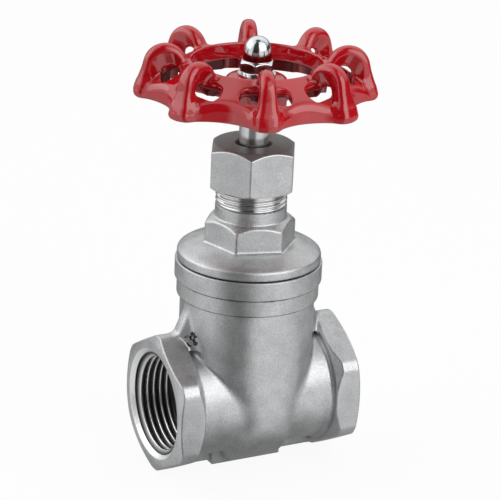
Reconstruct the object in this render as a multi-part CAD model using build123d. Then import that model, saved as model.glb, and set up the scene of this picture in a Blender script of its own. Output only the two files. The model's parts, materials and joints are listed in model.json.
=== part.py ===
from build123d import *
import math
import os

# One-inch (DN25) gate valve with threaded ends: screwed bonnet, non-rising stem, cast handwheel.
# Millimetres. The origin is under the stem, on the plane that the foot stands on.
# +X runs along the pipe towards the outlet and +Z runs up the stem.

# --- Fits -------------------------------------------------------------------------------------
THREAD_GAP = 0.05          # radial gap of two threads that stay screwed together
SHAFT_GAP = 0.07           # radial gap of a turning or sliding shaft
FACE_GAP = 0.05            # gap of faces that slide on each other
GUIDE_GAP = 0.30           # gap of the gate to its cast guides

# --- Pipe ends: 1 inch parallel pipe thread ---------------------------------------------------
FACE_TO_FACE = 65.0
PIPE_THREAD_R = 16.62      # major radius of the pipe thread
PIPE_THREAD_LENGTH = 15.0
MOUTH_CHAMFER = 1.25
END_WALL = 4.38            # thread to the flats of the hexagon ends
END_CORNER_CUT = 2.3       # the corners are turned down to this much over the flats
END_LENGTH = 9.0
END_FACE_CHAMFER = (1.1, 3.0)     # axial and radial, on the joint face
END_BACK_CHAMFER = (2.2, 2.6)     # axial and radial, towards the barrel
BARREL_WALL = 2.13
BARREL_FILLET = 2.2

# --- Gate and its seats -----------------------------------------------------------------------
PORT_R = 12.5              # clear bore through the seats
SEAT_WIDTH = 2.7
SEAT_HEIGHT = 2.2          # seat ring above the pocket wall
GATE_OVERLAP = 2.5         # edge of the gate beyond the port
GATE_HALF_THICKNESS = 6.4  # at the pipe axis
GATE_TAPER = 5.0           # degrees, each face
GATE_HEAD_HEIGHT = 3.0     # head over the disc
GATE_HEAD_WIDTH = 20.0
GATE_TRAVEL = 27.0
GATE_GROOVE_DEPTH = 1.0
RIB_WIDTH = 3.0            # cast guide ribs in the body
POCKET_GAP = 1.2           # gate edge to the pocket round it

# --- Body chamber -----------------------------------------------------------------------------
SKIRT_CLEARANCE = 0.4      # gate to the bonnet skirt
SKIRT_WALL = 3.0
NECK_WALL = 3.3
CHAMBER_WALL = 3.5
NECK_RISE = 34.4           # pipe axis to the lower ring
NECK_ROUND_LENGTH = 13.0   # the part of the neck that is a plain cylinder
# Narrowing of the chamber in X: rise over the pipe axis and cut from NECK_R.
WAIST = ((12.0, 1.8), (6.5, 5.1), (-1.5, 10.3), (-9.0, 13.0), (-23.0, 14.5))
BELLY_PROUD = 0.3          # rounded underside about the pipe axis, over the neck's radius
LOWER_RING_PROUD = 1.2
LOWER_RING_HEIGHT = 5.6
UPPER_RING_PROUD = 2.0
UPPER_RING_HEIGHT = 6.2
RING_ROUND = 0.7
FOOT_LENGTH = 25.0
FOOT_WIDTH = 8.0
FOOT_HEIGHT = 3.4
FOOT_PROUD = 0.2           # underside of the foot below the corners of the ends
KEEL_WIDTH = 3.2
KEEL_CLEARANCE = 0.7       # underside of the keel above the foot plane
GUSSET_WIDTH = 4.0
GUSSET_TOP_PROUD = 0.5     # outer edge over the neck's radius, at the rings
GUSSET_FOOT_PROUD = 2.5    # the same where it lands on the ends

# --- Bonnet -----------------------------------------------------------------------------------
SKIRT_LENGTH = 9.9
CEILING_CLEARANCE = 3.0    # open gate to the roof of the gate space
FLANGE_STAND_BACK = 0.5    # edge of the flange inside the body's upper ring
FLANGE_THICKNESS = 3.8
FLANGE_ROUND = 1.2
FLANGE_RISE = 2.0          # slope of the flange up to the hexagon
BONNET_FLATS = 26.0
BONNET_HEX_HEIGHT = 8.4
BONNET_HEX_TURN = 45.6     # degrees, one corner from +X
GLAND_NECK_WALL = 3.87     # stuffing box to the thread that the packing nut runs on
GLAND_NECK_ROOT_PROUD = 0.93
GLAND_NECK_ROOT_RISE = 0.9
HEX_CHAMFER = (1.9, 2.6)   # axial and radial, on the free end of the bonnet and nut hexagons
GASKET_THICKNESS = 1.0
GASKET_WIDTH = 2.2
GASKET_RECESS = 0.8

# --- Stem seal, from the floor of the stuffing box upwards ------------------------------------
PACKING_WIDTH = 2.82       # stem to the wall of the stuffing box
STUFFING_FLOOR_RISE = 8.5  # above the roof of the gate space
THRUST_WASHER_THICKNESS = 1.0
COLLAR_CLEARANCE = 0.2     # collar to the wall of the stuffing box
COLLAR_HEIGHT = 3.0
PACKING_WASHER_THICKNESS = 1.0
PACKING_RING_HEIGHT = 3.2
FOLLOWER_LENGTH = 10.9
FOLLOWER_FLANGE_PROUD = 2.0
FOLLOWER_FLANGE_HEIGHT = 2.0
FOLLOWER_STROKE = 0.6      # room left under the flange to tighten the packing
PACKING_NUT_WALL = 1.43    # thread to the flats
PACKING_NUT_HEIGHT = 14.45
PACKING_NUT_CROWN = 3.0
PACKING_NUT_HOLE_GAP = 1.11
PACKING_NUT_TURN = 0.8     # degrees, one corner from +X

# --- Stem -------------------------------------------------------------------------------------
STEM_R = 4.78
STEM_THREAD_CUT = 0.03     # the gate thread is this much smaller than the journal
STEM_ENGAGEMENT = 6.0      # length of the stem inside the closed gate
STEM_SHOULDER_RISE = 11.4  # packing nut crown to the handwheel
SQUARE_FLATS = 7.0
SQUARE_STAND_BACK = 0.4    # the square ends this far below the top of the hub
TIP_THREAD_R = 2.95
TIP_LENGTH = 8.6

# --- Handwheel --------------------------------------------------------------------------------
LOBES = 8
FIRST_LOBE = 68.5          # degrees from +X
SPOKES = 4
HUB_R = 9.8
HUB_HEIGHT = 10.3
SKIRT_DROP = 3.7           # hub underside to the lower edge of the rim
RIM_VALLEY_R = 32.0
RIM_LOBE_R = 38.2
SCALLOP_R = 13.5           # hollow between two lobes, seen from above
LOBE_ROUND = 2.6           # corners of a lobe, seen from above
RIM_WALL = 2.4
RIM_INNER_R = 20.5         # opening inside the rim
RIM_CREASE = (31.5, 6.2)   # radius and height above the lower edge, where skirt and roof meet
RIM_ROOF_TOP = 12.1        # inner top edge above the lower edge of the rim
RIM_INNER_DEPTH = 5.8      # height of the inner wall
EAR_THICKNESS = 5.2
EAR_TAPER = 14.0
EAR_HEIGHT = 17.0          # peak above the lower edge of the rim
EAR_PEAK_SHIFT = -0.35     # peak from the middle between the rim's opening and the lobe
EAR_BACK = 4.0             # the outer shoulder stands this far inside the lobe
EAR_ROUNDS = (0.0, 2.0, 4.0, 5.0, 5.0, 4.0, 0.0)
EAR_ARCH = 10.2            # crown of the arch under an ear, above the lower edge of the rim
EAR_WEB = 1.0              # what the dishes in its cheeks leave between them
EAR_DISH = (3.0, 5.3)      # radius of a dish at the web and at half a thickness outside it
EAR_DISH_CENTRE = (28.2, 9.7)  # radius, and height above the lower edge of the rim
WINDOW_SIZE = (6.2, 16.2)  # radial and tangential, bridged by the ear
WINDOW_MARGIN = 1.6        # outer edge of a window to the valleys of the rim
WINDOW_ROUND = 1.3
LOBE_POCKET = (9.0, 4.2)   # hollow under each lobe, radial and tangential
SPOKE_WIDTH = 7.5
SPOKE_TAPER = 6.0
SPOKE_HUB_HEIGHT = 6.2
SPOKE_RIM_HEIGHT = 4.4
SPOKE_SINK = 1.0           # spokes start this far below the top of the hub

# --- Wheel fasteners --------------------------------------------------------------------------
WHEEL_WASHER_WIDTH = 2.98
WHEEL_WASHER_THICKNESS = 1.1
CAP_NUT_FLATS = 10.0
CAP_NUT_TURN = 57.0        # degrees, one corner from +X
CAP_NUT_SEAT_R = 4.7
CAP_NUT_SEAT_HEIGHT = 0.5
CAP_NUT_HEX_HEIGHT = 3.6
CAP_NUT_CHAMFER = 0.92     # axial, on the upper corners
CAP_NUT_DOME_R = 4.3
CAP_NUT_HEIGHT = 11.8
CAP_NUT_BLIND = 1.0        # space over the stem tip

# --- Radii and heights worked out from the sizes above ----------------------------------------
END_FLATS = 2 * (PIPE_THREAD_R + END_WALL)
END_CORNER_R = END_FLATS / 2 + END_CORNER_CUT
BARREL_R = PIPE_THREAD_R + BARREL_WALL
SEAT_R = PORT_R + SEAT_WIDTH
GATE_R = PORT_R + GATE_OVERLAP
SKIRT_R = GATE_R + SKIRT_CLEARANCE + SKIRT_WALL   # male thread of the bonnet
NECK_R = SKIRT_R + NECK_WALL
LOWER_RING_R = NECK_R + LOWER_RING_PROUD
UPPER_RING_R = NECK_R + UPPER_RING_PROUD
FLANGE_R = UPPER_RING_R - FLANGE_STAND_BACK
GASKET_R = SKIRT_R + GASKET_WIDTH
STEM_THREAD_R = STEM_R - STEM_THREAD_CUT
STUFFING_BOX_R = STEM_R + PACKING_WIDTH
COLLAR_R = STUFFING_BOX_R - COLLAR_CLEARANCE
GLAND_NECK_R = STUFFING_BOX_R + GLAND_NECK_WALL
PACKING_NUT_FLATS = 2 * (GLAND_NECK_R + THREAD_GAP + PACKING_NUT_WALL)
PIPE_Z = END_CORNER_R + FOOT_PROUD
GATE_TOP = PIPE_Z + GATE_R + GATE_HEAD_HEIGHT
RINGS_Z = PIPE_Z + NECK_RISE
BODY_TOP = RINGS_Z + LOWER_RING_HEIGHT + UPPER_RING_HEIGHT
BONNET_Z = BODY_TOP - GASKET_RECESS + GASKET_THICKNESS
BONNET_HEX_Z = BONNET_Z + FLANGE_THICKNESS + FLANGE_RISE
GLAND_NECK_Z = BONNET_HEX_Z + BONNET_HEX_HEIGHT
CEILING_Z = GATE_TOP + GATE_TRAVEL + CEILING_CLEARANCE
STUFFING_FLOOR = CEILING_Z + STUFFING_FLOOR_RISE
COLLAR_Z = STUFFING_FLOOR + THRUST_WASHER_THICKNESS + FACE_GAP
PACKING_WASHER_Z = COLLAR_Z + COLLAR_HEIGHT + FACE_GAP
PACKING_Z = PACKING_WASHER_Z + PACKING_WASHER_THICKNESS
FOLLOWER_Z = PACKING_Z + 3 * PACKING_RING_HEIGHT
FOLLOWER_TOP = FOLLOWER_Z + FOLLOWER_LENGTH
GLAND_NECK_TOP = FOLLOWER_TOP - FOLLOWER_FLANGE_HEIGHT - FOLLOWER_STROKE
PACKING_NUT_TOP = FOLLOWER_TOP + PACKING_NUT_CROWN
HUB_Z = PACKING_NUT_TOP + STEM_SHOULDER_RISE
HUB_TOP = HUB_Z + HUB_HEIGHT
RIM_Z = HUB_Z + SKIRT_DROP
WINDOW_R = RIM_VALLEY_R - WINDOW_MARGIN - WINDOW_SIZE[0] / 2
CAP_NUT_Z = HUB_TOP + WHEEL_WASHER_THICKNESS


def tube(outer_r, inner_r, bottom, height):
    """A plain ring or washer standing on the height bottom."""
    ring = Circle(outer_r) - Circle(inner_r)
    return Pos(0, 0, bottom) * extrude(ring, height)


def rod(radius, bottom, top):
    """A plain round bar between two heights."""
    return Pos(0, 0, bottom) * extrude(Circle(radius), top - bottom)


def turned(*points):
    """A solid of revolution about the stem, from (radius, height) points; repeated points count once."""
    outline = Plane.XZ * Polyline(*dict.fromkeys(points), close=True)
    return revolve(make_face(outline), Axis.Z)


def turned_hexagon(flats, corner_r, length, start_chamfer, end_chamfer, turn):
    """A hexagon bar on the XY plane whose two ends are turned to cones."""
    bar = extrude(RegularPolygon(flats / 2, 6, major_radius=False, rotation=turn), length)
    outline = turned(
        (0, 0),
        (corner_r - start_chamfer[1], 0),
        (corner_r, start_chamfer[0]),
        (corner_r, length - end_chamfer[0]),
        (corner_r - end_chamfer[1], length),
        (0, length),
    )
    return bar & outline


def corner_radius(flats):
    """Distance from the middle of a hexagon to its corners."""
    return flats / 2 / math.cos(math.radians(30))


def facing_plane(side):
    """Plane in the joint face of the inlet (-1) or outlet (+1), looking into the valve."""
    return Plane(origin=(side * FACE_TO_FACE / 2, 0, PIPE_Z), x_dir=(0, 0, 1), z_dir=(-side, 0, 0))


def along_pipe(radius, half_length):
    """A round bar on the pipe axis, centred on the stem."""
    return Plane.YZ * Pos(0, PIPE_Z, -half_length) * extrude(Circle(radius), 2 * half_length)


def rounded_face(points, rounds):
    """A flat face with rounded corners; a corner's radius is limited by the sides next to it."""
    face = make_face(Polyline(*points, close=True))
    corners = [Vector(*point) for point in points]
    for place, (corner, wanted) in enumerate(zip(corners, rounds)):
        before = corners[place - 1] - corner
        after = corners[(place + 1) % len(corners)] - corner
        half_angle = math.radians(before.get_angle(after)) / 2
        room = min(before.length, after.length) / 2 * math.tan(half_angle)
        if wanted > 0:
            face = fillet(face.vertices().sort_by_distance(corner)[0], min(wanted, 0.95 * room))
    return face


def chamber_form(inset):
    """The waisted chamber round the gate: round at the neck and narrow in X at the port."""
    neck_start = RINGS_Z - NECK_ROUND_LENGTH
    round_heights = (RINGS_Z, (RINGS_Z + neck_start) / 2, neck_start)
    half_width = NECK_R - inset
    neck = [Pos(0, 0, height) * Circle(half_width) for height in round_heights]
    waist = [Pos(0, 0, PIPE_Z + rise) * Ellipse(half_width - cut, half_width) for rise, cut in WAIST]
    belly = along_pipe(NECK_R + BELLY_PROUD - inset, NECK_R)
    above_pipe = Pos(0, 0, PIPE_Z) * extrude(Rectangle(4 * NECK_R, 4 * NECK_R), NECK_RISE)
    return loft(neck + waist) & (belly + above_pipe)


def pipe_end(side):
    """One hexagon end, as a solid, with its joint face looking out along the pipe."""
    end = turned_hexagon(END_FLATS, END_CORNER_R, END_LENGTH, END_FACE_CHAMFER, END_BACK_CHAMFER, 0)
    return facing_plane(side) * end


def pipe_end_bore(side):
    """What is cut away behind one joint face: the thread, at its major radius, and its mouth."""
    thread = extrude(Circle(PIPE_THREAD_R), PIPE_THREAD_LENGTH)
    mouth = turned(
        (0, 0),
        (PIPE_THREAD_R + MOUTH_CHAMFER, 0),
        (PIPE_THREAD_R, MOUTH_CHAMFER),
        (0, MOUTH_CHAMFER),
    )
    return facing_plane(side) * (thread + mouth)


def gate_face_offset(rise):
    """Half thickness of the gate at a height over the pipe axis."""
    return GATE_HALF_THICKNESS + rise * math.tan(math.radians(GATE_TAPER))


def tapered_block(gap, bottom_rise, top_rise, width):
    """The wedge-shaped space between the two seat faces, grown by gap on each face."""
    bottom_half = gate_face_offset(bottom_rise) + gap
    top_half = gate_face_offset(top_rise) + gap
    outline = Plane.XZ * Polyline(
        (-bottom_half, PIPE_Z + bottom_rise),
        (bottom_half, PIPE_Z + bottom_rise),
        (top_half, PIPE_Z + top_rise),
        (-top_half, PIPE_Z + top_rise),
        close=True,
    )
    return extrude(make_face(outline), width / 2, both=True)


def body_rings():
    """The two stacked rings at the top of the neck, with rounded edges."""
    middle = RINGS_Z + LOWER_RING_HEIGHT
    lower = rod(LOWER_RING_R, RINGS_Z, middle)
    lower = fillet(lower.edges().group_by(Axis.Z)[0], RING_ROUND)
    upper = rod(UPPER_RING_R, middle, BODY_TOP)
    upper = fillet(upper.edges(), RING_ROUND)
    return lower + upper


def side_web(points, width):
    """A flat web of the given thickness in the plane of the pipe and the stem."""
    outline = Plane.XZ * Polyline(*points, close=True)
    return extrude(make_face(outline), width / 2, both=True)


def body_webs():
    """Gussets from the rings down to the two ends, the keel under the barrel, and the foot."""
    end_back = FACE_TO_FACE / 2 - END_LENGTH
    gusset_right = side_web(
        (
            (NECK_R - CHAMBER_WALL / 2, PIPE_Z),
            (NECK_R + GUSSET_FOOT_PROUD, PIPE_Z),
            (NECK_R + GUSSET_FOOT_PROUD, PIPE_Z + END_CORNER_R),
            (NECK_R + GUSSET_TOP_PROUD, RINGS_Z + LOWER_RING_HEIGHT / 2),
            (NECK_R - CHAMBER_WALL / 2, RINGS_Z + LOWER_RING_HEIGHT / 2),
        ),
        GUSSET_WIDTH,
    )
    keel_top = PIPE_Z - BARREL_R + CHAMBER_WALL / 2
    keel_height = keel_top - KEEL_CLEARANCE
    keel = Pos(0, 0, KEEL_CLEARANCE) * extrude(Rectangle(2 * end_back + 1, KEEL_WIDTH), keel_height)
    foot = extrude(Rectangle(FOOT_LENGTH, FOOT_WIDTH), FOOT_HEIGHT)
    return gusset_right + mirror(gusset_right, Plane.YZ) + keel + foot


def gate_pocket():
    """The cast space that the gate moves in, up to the threaded top of the neck."""
    pocket_r = GATE_R + POCKET_GAP
    between_walls = tapered_block(SEAT_HEIGHT, -pocket_r, pocket_r, 2 * pocket_r)
    round_pocket = along_pipe(pocket_r, NECK_R) & between_walls
    shaft = chamber_form(CHAMBER_WALL) - rod(NECK_R, 0, PIPE_Z - GATE_R / 2)
    return round_pocket + shaft + rod(NECK_R - CHAMBER_WALL, RINGS_Z, BONNET_Z - SKIRT_LENGTH)


def guide_ribs():
    """Two upright ribs on the walls of the pocket, which run in the grooves of the gate."""
    inner = GATE_R - GATE_GROOVE_DEPTH + GUIDE_GAP
    outer = NECK_R - CHAMBER_WALL / 2
    bottom = PIPE_Z - GATE_R / 2
    top = BONNET_Z - SKIRT_LENGTH - 2 * GUIDE_GAP
    rib = extrude(Rectangle(RIB_WIDTH, outer - inner), top - bottom)
    rib = Pos(0, (inner + outer) / 2, bottom) * rib
    return rib + mirror(rib, Plane.XZ)


def seat_rings():
    """Both inclined seats, cast with the body, on the walls of the pocket."""
    blank = along_pipe(SEAT_R, PIPE_THREAD_R / 2 + SEAT_HEIGHT) - along_pipe(PORT_R, FACE_TO_FACE / 2)
    return blank - tapered_block(FACE_GAP, -2 * SEAT_R, 2 * SEAT_R, 4 * SEAT_R)


def cast_shell():
    """Chamber and barrel, with the long joint lines between them rounded out."""
    shell = chamber_form(0) + along_pipe(BARREL_R, FACE_TO_FACE / 2 - END_LENGTH / 2)
    barrel_top = PIPE_Z + BARREL_R
    joint_lines = [
        edge
        for edge in shell.edges().filter_by(GeomType.BSPLINE)
        if edge.bounding_box().max.Z - PIPE_Z > -1 and edge.bounding_box().max.Z < barrel_top + 0.1
    ]
    return fillet(joint_lines, BARREL_FILLET)


def valve_body():
    """The cast body: threaded ends, waisted chamber, seats, guide ribs, foot and rings."""
    outside = cast_shell()
    outside += body_rings() + body_webs() + pipe_end(-1) + pipe_end(1)
    space = gate_pocket() - guide_ribs() - seat_rings()
    space += rod(SKIRT_R + THREAD_GAP, BONNET_Z - SKIRT_LENGTH - GUIDE_GAP, BODY_TOP)
    space += rod(GASKET_R + GUIDE_GAP, BODY_TOP - GASKET_RECESS, BODY_TOP)
    space += along_pipe(PORT_R, FACE_TO_FACE / 2)
    space += pipe_end_bore(-1) + pipe_end_bore(1)
    return outside - space


def gate_wedge():
    """Solid wedge gate: a disc with two inclined faces, a head, guide grooves and the nut bore."""
    disc = along_pipe(GATE_R, GATE_R)
    head_rise = GATE_TOP - PIPE_Z
    head = Pos(0, 0, PIPE_Z) * extrude(Rectangle(2 * GATE_R, GATE_HEAD_WIDTH), head_rise)
    gate = (disc + head) & tapered_block(0, -GATE_R, head_rise, 2 * GATE_R)
    groove_width = RIB_WIDTH + 2 * GUIDE_GAP
    groove_floor = GATE_R - GATE_GROOVE_DEPTH
    for side in (-1, 1):
        groove = extrude(Rectangle(groove_width, 2 * GATE_GROOVE_DEPTH), 4 * GATE_R)
        gate -= Pos(0, side * (groove_floor + GATE_GROOVE_DEPTH), PIPE_Z - 2 * GATE_R) * groove
    return gate - rod(STEM_THREAD_R + SHAFT_GAP, PIPE_Z - 2 * GATE_R, PIPE_Z + 2 * GATE_R)


def bonnet_gasket():
    """Flat sealing ring in the recess on top of the body."""
    return tube(GASKET_R, SKIRT_R + GUIDE_GAP, BODY_TOP - GASKET_RECESS, GASKET_THICKNESS)


def bonnet():
    """Screwed bonnet: threaded skirt, rounded flange, hexagon and the neck of the stuffing box."""
    skirt = rod(SKIRT_R, BONNET_Z - SKIRT_LENGTH, BONNET_Z + FLANGE_THICKNESS)
    skirt = chamfer(skirt.edges().group_by(Axis.Z)[0], SKIRT_WALL / 4)
    rim = fillet(rod(FLANGE_R, BONNET_Z, BONNET_Z + FLANGE_THICKNESS).edges(), FLANGE_ROUND)
    cone_bottom = BONNET_Z + FLANGE_THICKNESS - FLANGE_ROUND / 4
    cone = turned(
        (0, cone_bottom),
        (FLANGE_R - FLANGE_ROUND, cone_bottom),
        (corner_radius(BONNET_FLATS) + FLANGE_ROUND / 2, BONNET_HEX_Z),
        (0, BONNET_HEX_Z),
    )
    hexagon = turned_hexagon(
        BONNET_FLATS,
        corner_radius(BONNET_FLATS),
        BONNET_HEX_HEIGHT + FLANGE_RISE,
        (0.0, 0.0),
        HEX_CHAMFER,
        BONNET_HEX_TURN,
    )
    neck = rod(GLAND_NECK_R, BONNET_HEX_Z, GLAND_NECK_TOP)
    neck = chamfer(neck.edges().group_by(Axis.Z)[-1], MOUTH_CHAMFER / 2)
    root = turned(
        (0, GLAND_NECK_Z),
        (GLAND_NECK_R + GLAND_NECK_ROOT_PROUD, GLAND_NECK_Z),
        (GLAND_NECK_R, GLAND_NECK_Z + GLAND_NECK_ROOT_RISE),
        (0, GLAND_NECK_Z + GLAND_NECK_ROOT_RISE),
    )
    outside = skirt + rim + cone + Pos(0, 0, BONNET_HEX_Z - FLANGE_RISE) * hexagon + neck + root
    gate_space = rod(SKIRT_R - SKIRT_WALL, BONNET_Z - SKIRT_LENGTH, CEILING_Z)
    stem_bore = rod(STEM_R + SHAFT_GAP, CEILING_Z, STUFFING_FLOOR)
    stuffing_box = rod(STUFFING_BOX_R, STUFFING_FLOOR, GLAND_NECK_TOP)
    return outside - gate_space - stem_bore - stuffing_box


def thrust_washer():
    """Bearing ring under the collar of the stem."""
    return tube(COLLAR_R, STEM_R + SHAFT_GAP, STUFFING_FLOOR, THRUST_WASHER_THICKNESS)


def packing_washer():
    """Ring between the stem's collar and the packing, which holds the stem down."""
    outer = STUFFING_BOX_R - THREAD_GAP
    return tube(outer, STEM_R + SHAFT_GAP, PACKING_WASHER_Z, PACKING_WASHER_THICKNESS)


def packing_ring(place):
    """One of the three stem packing rings, counted from the bottom."""
    bottom = PACKING_Z + place * PACKING_RING_HEIGHT
    return tube(STUFFING_BOX_R - THREAD_GAP, STEM_R + FACE_GAP, bottom, PACKING_RING_HEIGHT)


def gland_follower():
    """Flanged bush that the packing nut presses on the packing."""
    sleeve = rod(STUFFING_BOX_R - THREAD_GAP, FOLLOWER_Z, FOLLOWER_TOP)
    flange_r = STUFFING_BOX_R + FOLLOWER_FLANGE_PROUD
    flange = rod(flange_r, FOLLOWER_TOP - FOLLOWER_FLANGE_HEIGHT, FOLLOWER_TOP)
    return sleeve + flange - rod(STEM_R + SHAFT_GAP, FOLLOWER_Z, FOLLOWER_TOP)


def packing_nut():
    """Hexagon cap screwed over the bonnet neck, with a clear hole for the stem."""
    outside = turned_hexagon(
        PACKING_NUT_FLATS,
        corner_radius(PACKING_NUT_FLATS),
        PACKING_NUT_HEIGHT,
        (HEX_CHAMFER[0] / 2, HEX_CHAMFER[1] / 2),
        HEX_CHAMFER,
        PACKING_NUT_TURN,
    )
    bottom = PACKING_NUT_TOP - PACKING_NUT_HEIGHT
    inside = rod(GLAND_NECK_R + THREAD_GAP, bottom, FOLLOWER_TOP)
    hole = rod(STEM_R + PACKING_NUT_HOLE_GAP, FOLLOWER_TOP, PACKING_NUT_TOP)
    return Pos(0, 0, bottom) * outside - inside - hole


def stem():
    """Non-rising stem: gate thread, thrust collar, journal, square for the wheel and threaded tip."""
    screw_top = CEILING_Z
    bar = rod(STEM_THREAD_R, GATE_TOP - STEM_ENGAGEMENT, screw_top)
    bar = chamfer(bar.edges().group_by(Axis.Z)[0], TIP_THREAD_R / 3)
    bar += rod(STEM_R, screw_top, HUB_Z)
    bar += rod(COLLAR_R, COLLAR_Z, COLLAR_Z + COLLAR_HEIGHT)
    square_height = HUB_HEIGHT - SQUARE_STAND_BACK
    square = Pos(0, 0, HUB_Z) * extrude(Rectangle(SQUARE_FLATS, SQUARE_FLATS), square_height)
    bar += square & rod(STEM_R, HUB_Z, HUB_TOP)
    tip = rod(TIP_THREAD_R, HUB_Z, HUB_TOP + TIP_LENGTH)
    return bar + chamfer(tip.edges().group_by(Axis.Z)[-1], TIP_THREAD_R / 5)


def rim_roof(drop):
    """The rim's roof as a solid down to its lower edge, lowered by drop: a cone that falls outwards."""
    slope = (RIM_ROOF_TOP - RIM_CREASE[1]) / (RIM_CREASE[0] - RIM_INNER_R)
    outer = 1.1 * RIM_LOBE_R
    return turned(
        (RIM_INNER_R, RIM_Z),
        (outer, RIM_Z),
        (outer, RIM_Z + RIM_CREASE[1] - slope * (outer - RIM_CREASE[0]) - drop),
        (RIM_INNER_R, RIM_Z + RIM_ROOF_TOP - drop),
    )


def scalloped_outline():
    """The rim seen from above: eight lobes with a round hollow between each two."""
    outline = Circle(RIM_LOBE_R)
    hollow_centre = RIM_VALLEY_R + SCALLOP_R
    for lobe in range(LOBES):
        turn = FIRST_LOBE + (lobe + 0.5) * 360 / LOBES
        outline -= Rot(0, 0, turn) * Pos(hollow_centre, 0) * Circle(SCALLOP_R)
    return fillet(outline.vertices(), LOBE_ROUND)


def ear():
    """One finger ear: an arch over its window, with tapered and dished cheeks and a round back."""
    inner_foot = RIM_INNER_R + RIM_WALL / 2
    peak = (RIM_INNER_R + RIM_LOBE_R) / 2 + EAR_PEAK_SHIFT
    points = (
        (inner_foot, RIM_ROOF_TOP - RIM_INNER_DEPTH + RIM_WALL / 3),
        (inner_foot, RIM_ROOF_TOP - RIM_WALL / 3),
        ((inner_foot + peak) / 2 - RIM_WALL / 3, EAR_HEIGHT - RIM_WALL * 2 / 3),
        (peak, EAR_HEIGHT),
        (RIM_LOBE_R - EAR_BACK, EAR_HEIGHT - RIM_WALL),
        (RIM_LOBE_R - EAR_BACK / 4, RIM_CREASE[1] - EAR_BACK / 4),
        (RIM_LOBE_R, EAR_BACK / 4),
    )
    half = extrude(Plane.XZ * rounded_face(points, EAR_ROUNDS), EAR_THICKNESS / 2, taper=EAR_TAPER)
    dish = Cone(EAR_DISH[0], EAR_DISH[1], EAR_THICKNESS / 2, align=(Align.CENTER, Align.CENTER, Align.MIN))
    half -= Pos(EAR_DISH_CENTRE[0], -EAR_WEB / 2, EAR_DISH_CENTRE[1]) * Rot(90, 0, 0) * dish
    opening = RectangleRounded(WINDOW_SIZE[0], 2 * EAR_ARCH, WINDOW_SIZE[0] * 0.45)
    arch = extrude(Plane.XZ * opening, EAR_THICKNESS, both=True)
    return Pos(0, 0, RIM_Z) * (half + mirror(half, Plane.XZ) - Pos(WINDOW_R, 0, 0) * arch)


def rim_window():
    """The cutter for the window under one ear."""
    opening = RectangleRounded(WINDOW_SIZE[0], WINDOW_SIZE[1], WINDOW_ROUND)
    return Pos(WINDOW_R, 0, RIM_Z) * extrude(opening, RIM_ROOF_TOP)


def spoke():
    """One spoke, from the hub to the inner wall of the rim, along +X."""
    hub_top = HUB_TOP - SPOKE_SINK
    rim_top = RIM_Z + RIM_ROOF_TOP - RIM_INNER_DEPTH + RIM_WALL
    outline = Plane.XZ * Polyline(
        (HUB_R * 2 / 3, hub_top - SPOKE_HUB_HEIGHT),
        (HUB_R * 2 / 3, hub_top),
        (HUB_R + RIM_WALL, hub_top),
        (RIM_INNER_R, rim_top - RIM_WALL / 2),
        (RIM_INNER_R + RIM_WALL, rim_top),
        (RIM_INNER_R + RIM_WALL * 3 / 2, rim_top - SPOKE_RIM_HEIGHT / 2),
        (RIM_INNER_R + RIM_WALL, rim_top - SPOKE_RIM_HEIGHT),
        close=True,
    )
    half = extrude(make_face(outline), SPOKE_WIDTH / 2, taper=SPOKE_TAPER)
    return half + mirror(half, Plane.XZ)


def handwheel():
    """Cast wheel: a scalloped rim hollow from below, eight ears over their windows, spokes and hub."""
    rim = rim_roof(0) & (Pos(0, 0, RIM_Z) * extrude(scalloped_outline(), RIM_ROOF_TOP))
    between_walls = tube(RIM_VALLEY_R - RIM_WALL, RIM_INNER_R + RIM_WALL, RIM_Z, RIM_ROOF_TOP)
    channel = rim_roof(RIM_WALL) & between_walls
    below_inner_wall = rod(RIM_INNER_R + RIM_WALL, RIM_Z, RIM_Z + RIM_ROOF_TOP - RIM_INNER_DEPTH)
    wheel = rim - channel - below_inner_wall
    pocket = SlotOverall(LOBE_POCKET[0], LOBE_POCKET[1])
    pocket_depth = RIM_CREASE[1] - RIM_WALL
    for lobe in range(LOBES):
        turn = Rot(0, 0, FIRST_LOBE + lobe * 360 / LOBES)
        wheel = wheel - turn * rim_window() + turn * ear()
        wheel -= turn * Pos(RIM_VALLEY_R - RIM_WALL, 0, RIM_Z) * extrude(pocket, pocket_depth)
    for arm in range(SPOKES):
        wheel += Rot(0, 0, FIRST_LOBE + arm * 360 / SPOKES) * spoke()
    hub = rod(HUB_R, HUB_Z, HUB_TOP)
    hub = fillet(hub.edges(), HUB_R / 12)
    square = SQUARE_FLATS + 2 * THREAD_GAP
    bore = Pos(0, 0, HUB_Z) * extrude(Rectangle(square, square), HUB_HEIGHT)
    return wheel + hub - bore


def wheel_washer():
    """Flat washer on top of the hub."""
    hole_r = TIP_THREAD_R + SHAFT_GAP
    return tube(hole_r + WHEEL_WASHER_WIDTH, hole_r, HUB_TOP, WHEEL_WASHER_THICKNESS)


def cap_nut():
    """Domed nut on the tip of the stem."""
    seat_top = CAP_NUT_Z + CAP_NUT_SEAT_HEIGHT
    dome_z = CAP_NUT_Z + CAP_NUT_HEIGHT - CAP_NUT_DOME_R
    corner = corner_radius(CAP_NUT_FLATS)
    top_chamfer = (CAP_NUT_CHAMFER, corner - CAP_NUT_DOME_R)
    hexagon = turned_hexagon(
        CAP_NUT_FLATS,
        corner,
        CAP_NUT_HEX_HEIGHT,
        (top_chamfer[0] / 2, top_chamfer[1] / 2),
        top_chamfer,
        CAP_NUT_TURN,
    )
    dome = rod(CAP_NUT_DOME_R, seat_top, dome_z) + Pos(0, 0, dome_z) * Sphere(CAP_NUT_DOME_R)
    seat = rod(CAP_NUT_SEAT_R, CAP_NUT_Z, seat_top + CAP_NUT_HEX_HEIGHT)
    blind = rod(TIP_THREAD_R + THREAD_GAP, CAP_NUT_Z, HUB_TOP + TIP_LENGTH + CAP_NUT_BLIND)
    return seat + Pos(0, 0, seat_top) * hexagon + dome - blind


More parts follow.
